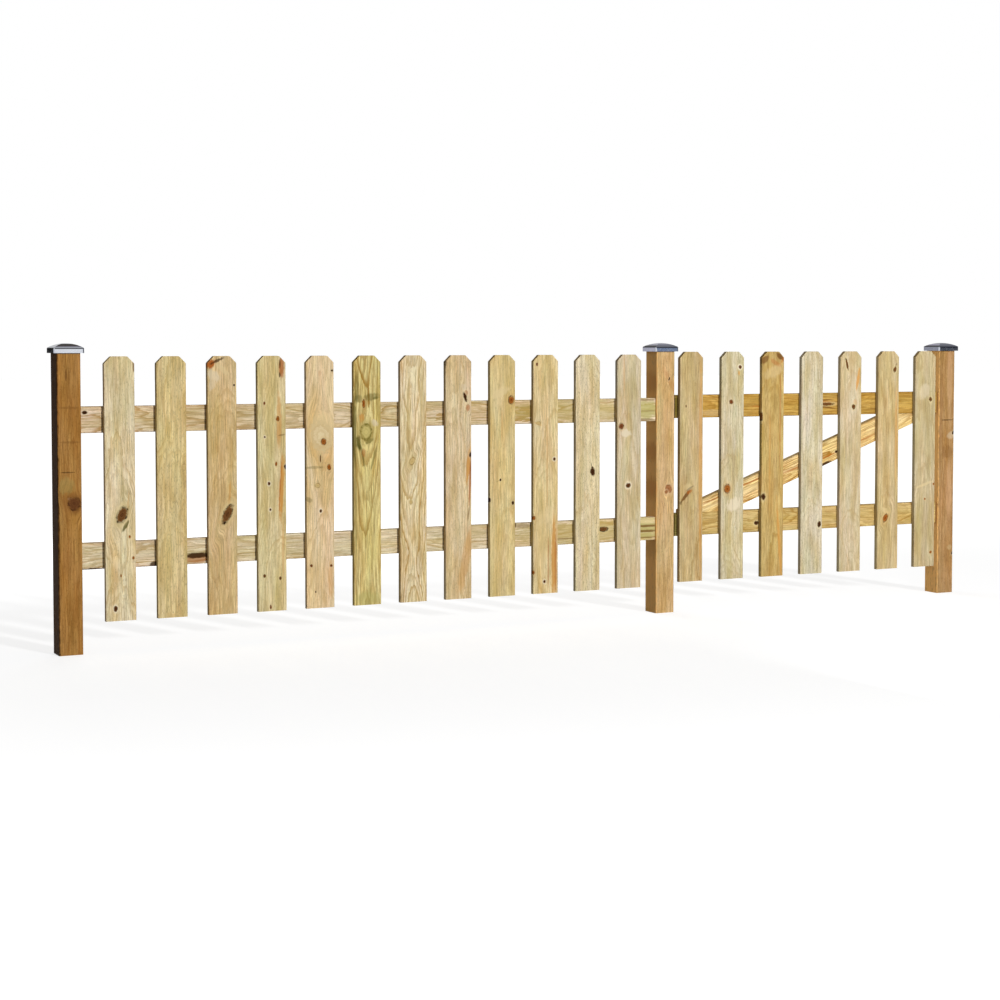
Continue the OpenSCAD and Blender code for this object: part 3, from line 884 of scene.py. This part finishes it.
def strap_screws(name):
    """Screws along a strap. The last one is in the middle of its round tip."""
    low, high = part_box(name)
    first = low.x + STRAP_HOLE_START * MM
    last = high.x - (high.z - low.z) / 2
    y = low.y + STRAP_SHEET * MM
    z = (low.z + high.z) / 2
    places = [first + (last - first) * k / (STRAP_HOLES - 1) for k in range(STRAP_HOLES)]
    return [((x, y, z), BACKWARDS, *STRAP_SCREW) for x in places]


def fence_screws():
    """Screws of the fence's pickets and of its brackets, whose middles are level with the rails'."""
    screws = []
    for bracket in ("bracket_left_low", "bracket_left_high"):
        height = middle(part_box(bracket)).z
        for name in FENCE_PICKETS:
            x = middle(mesh_box(bpy.data.objects[name].data)).x
            screws += crossing_screws(x, height)
    for bracket in ("bracket_left_low", "bracket_left_high", "bracket_right_low", "bracket_right_high"):
        screws += bracket_screws(bracket)
    return screws


def gate_screws():
    """Screws of the gate's pickets, of its brace, which ends at the outer pickets, and of its straps."""
    screws = []
    brace = middle(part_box("gate_brace"))
    for name in GATE_PICKETS:
        x = middle(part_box(name)).x
        for rail in GATE_RAILS:
            screws += crossing_screws(x, middle(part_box(rail)).z)
        if name in GATE_PICKETS[1:-1]:
            z = brace.z + (x - brace.x) * math.tan(BRACE_SLOPE)
            screws.append(((x, RAIL_BACK, z), BACKWARDS, *PICKET_SCREW))
    for name in ("lower_strap", "upper_strap"):
        screws += strap_screws(name)
    return screws


def metals():
    """Zinc for the caps, galvanised steel for the ironwork, and the screws."""
    zinc = metal("bright zinc", (218, 222, 230), roughness=0.08, spread=0.06, spangle=9 * MM)
    steel = metal("galvanised steel", (178, 182, 186), roughness=0.4, spread=0.25, spangle=5 * MM)
    for name in ("left_post_cap", "hinge_post_cap", "right_post_cap"):
        paint(frame["nodes"][name], zinc)
    for name, node in frame["nodes"].items():
        if name.endswith(("_strap", "_hook")) or name.startswith("bracket_"):
            paint(node, steel)
    screw_set("fence_screws", "fence", fence_screws(), steel)
    screw_set("gate_screws", "gate", gate_screws(), steel)


# ---------------------------------------------------------------- stage

def camera():
    """Camera at the photograph's viewpoint. The pitch is down and the yaw to the right, in radians."""
    pitch = 0.0468
    yaw = 0.4608
    data = bpy.data.cameras.new("camera")
    data.sensor_width = 36.0
    data.lens = 70.04
    data.shift_y = -0.0673
    cam = link("camera", data)
    cam.location = (-3.4995, -5.7990, 0.9403)
    cam.rotation_euler = (math.pi / 2 - pitch, 0.0, -yaw)
    bpy.context.scene.camera = cam


def softbox(name, place, target, size, power):
    """A rectangular lamp that gloss doesn't show."""
    data = bpy.data.lights.new(name, "AREA")
    data.shape = "RECTANGLE"
    data.size, data.size_y = size
    data.energy = power
    lamp = link(name, data)
    lamp.location = place
    lamp.rotation_euler = (Vector(target) - Vector(place)).to_track_quat("-Z", "Y").to_euler()
    lamp.visible_glossy = False


def lights():
    """A key lamp high in front of the fence, a weak one for what faces left, and a soft one behind."""
    softbox("key", place=(3.5, -16.0, 5.0), target=(-0.4, 0.0, 0.5), size=(1.3, 1.3), power=2330.0)
    softbox("side fill", place=(-0.2, -1.9, 0.9), target=(1.0, -1.75, 0.9), size=(0.5, 1.2), power=22.0)
    softbox("back", place=(-0.4, 3.4, 1.3), target=(-0.4, 0.0, 0.6), size=(2.4, 1.4), power=60.0)


# Dark and pale cards round the studio, which only gloss sees: degrees from +Y towards +X, and the tone
CARDS_LOW = [
    (-180, (0.90, 0.90, 0.90)), (-90, (0.80, 0.80, 0.82)), (-39, (0.30, 0.30, 0.34)),
    (-31, (0.55, 0.53, 0.60)), (-23, (0.30, 0.29, 0.31)), (-17, (0.02, 0.02, 0.02)),
    (-7, (0.01, 0.01, 0.01)), (2, (0.60, 0.60, 0.60)), (16, (0.60, 0.60, 0.62)),
    (28, (0.50, 0.49, 0.53)), (40, (0.30, 0.30, 0.32)), (52, (0.05, 0.05, 0.06)),
    (136, (0.02, 0.02, 0.03)), (143, (0.03, 0.04, 0.06)), (149, (0.16, 0.22, 0.35)),
    (157, (0.60, 0.62, 0.66)), (162, (1.00, 1.00, 1.00)), (172, (1.00, 1.00, 1.00)),
    (180, (0.90, 0.90, 0.90))]
CARDS_HIGH = [
    (-180, (0.06, 0.06, 0.06)), (-60, (0.50, 0.50, 0.52)), (-10, (0.05, 0.05, 0.05)),
    (20, (0.07, 0.06, 0.05)), (31, (0.50, 0.47, 0.54)), (40, (0.26, 0.26, 0.28)),
    (60, (0.16, 0.16, 0.18)), (120, (0.06, 0.06, 0.07)), (180, (0.06, 0.06, 0.06))]
OVERHEAD = (0.5, 0.5, 0.5, 1.0)
WHITE = (1.0, 1.0, 1.0, 1.0)


def cards(g, turn, stops):
    """Tones once round the studio. Turn is 0 at -180 degrees, in front of the fence, and 1 at 180."""
    ramp = g.add("ShaderNodeValToRGB")
    g.feed(ramp.inputs["Fac"], turn)
    elements = ramp.color_ramp.elements
    while len(elements) < len(stops):
        elements.new(0.5)
    for element, (degrees, tone) in zip(elements, stops):
        element.position = degrees / 360 + 0.5
        element.color = (*tone, 1.0)
    return ramp.outputs["Color"]


def surround(g, direction):
    """The studio as gloss sees it: low cards, high cards, and grey overhead."""
    parts = g.split(direction)
    turn = g.math("MULTIPLY_ADD", g.math("ARCTAN2", parts["X"], parts["Y"]), 0.5 / math.pi, 0.5)
    walls = g.mix(g.smooth(parts["Z"], 0.26, 0.5), cards(g, turn, CARDS_LOW), cards(g, turn, CARDS_HIGH))
    return g.mix(g.smooth(parts["Z"], 0.8, 0.95), walls, OVERHEAD)


def seen_directly(g):
    """The light path's outputs, and 1 where the camera looks, through glass too."""
    path = g.add("ShaderNodeLightPath").outputs
    return path, g.math("MAXIMUM", path["Is Camera Ray"], path["Is Transmission Ray"])


def world():
    """White for the camera, the studio's walls for gloss, and a low fill from above for all else."""
    studio = bpy.data.worlds.new("studio")
    bpy.context.scene.world = studio
    studio.use_nodes = True
    g = Graph(studio.node_tree)
    path, seen = seen_directly(g)
    direction = g.add("ShaderNodeTexCoord").outputs["Generated"]
    fill = g.smooth(g.split(direction)["Z"], -0.2, 1.0, 0.03, 0.24)
    light = g.mix(path["Is Glossy Ray"], g.join(fill, fill, fill), surround(g, direction))
    g.feed(studio.node_tree.nodes["Background"].inputs["Color"], g.mix(seen, light, WHITE))


def floor():
    """Pale floor that keeps the fence's soft shadow and turns white for the camera further off."""
    size = 40.0
    near = 1.2
    far = 4.0
    near_glow = 0.76
    gloss_glow = 0.6
    gray = (0.4, 0.4, 0.4, 1.0)
    mesh = bpy.data.meshes.new("floor")
    corners = [(-size, -size, 0), (size, -size, 0), (size, size, 0), (-size, size, 0)]
    mesh.from_pydata(corners, [], [(0, 1, 2, 3)])
    material, g, shader = new_material("floor")
    material.node_tree.nodes.remove(shader)
    place = g.split(g.add("ShaderNodeTexCoord").outputs["Object"])
    away = g.vector("LENGTH", g.join(g.math("MULTIPLY", place["X"], 0.6), place["Y"], 0.0))
    path, seen = seen_directly(g)
    pale = g.math("MULTIPLY", seen, g.smooth(away, near, far, near_glow, 1.0))
    glow = g.add("ShaderNodeEmission")
    g.feed(glow.inputs["Strength"], g.math("MULTIPLY_ADD", path["Is Glossy Ray"], gloss_glow, pale))
    diffuse = g.add("ShaderNodeBsdfDiffuse")
    diffuse.inputs["Color"].default_value = gray
    both = g.add("ShaderNodeAddShader")
    g.feed_all(both, (diffuse.outputs[0], glow.outputs[0]))
    g.feed(material.node_tree.nodes["Material Output"].inputs["Surface"], both.outputs[0])
    mesh.materials.append(material)
    plane = link("floor", mesh)


camera()
fence_boards()
gate_boards()
posts()
metals()
lights()
world()
floor()
bpy.context.scene.view_settings.view_transform = "Standard"
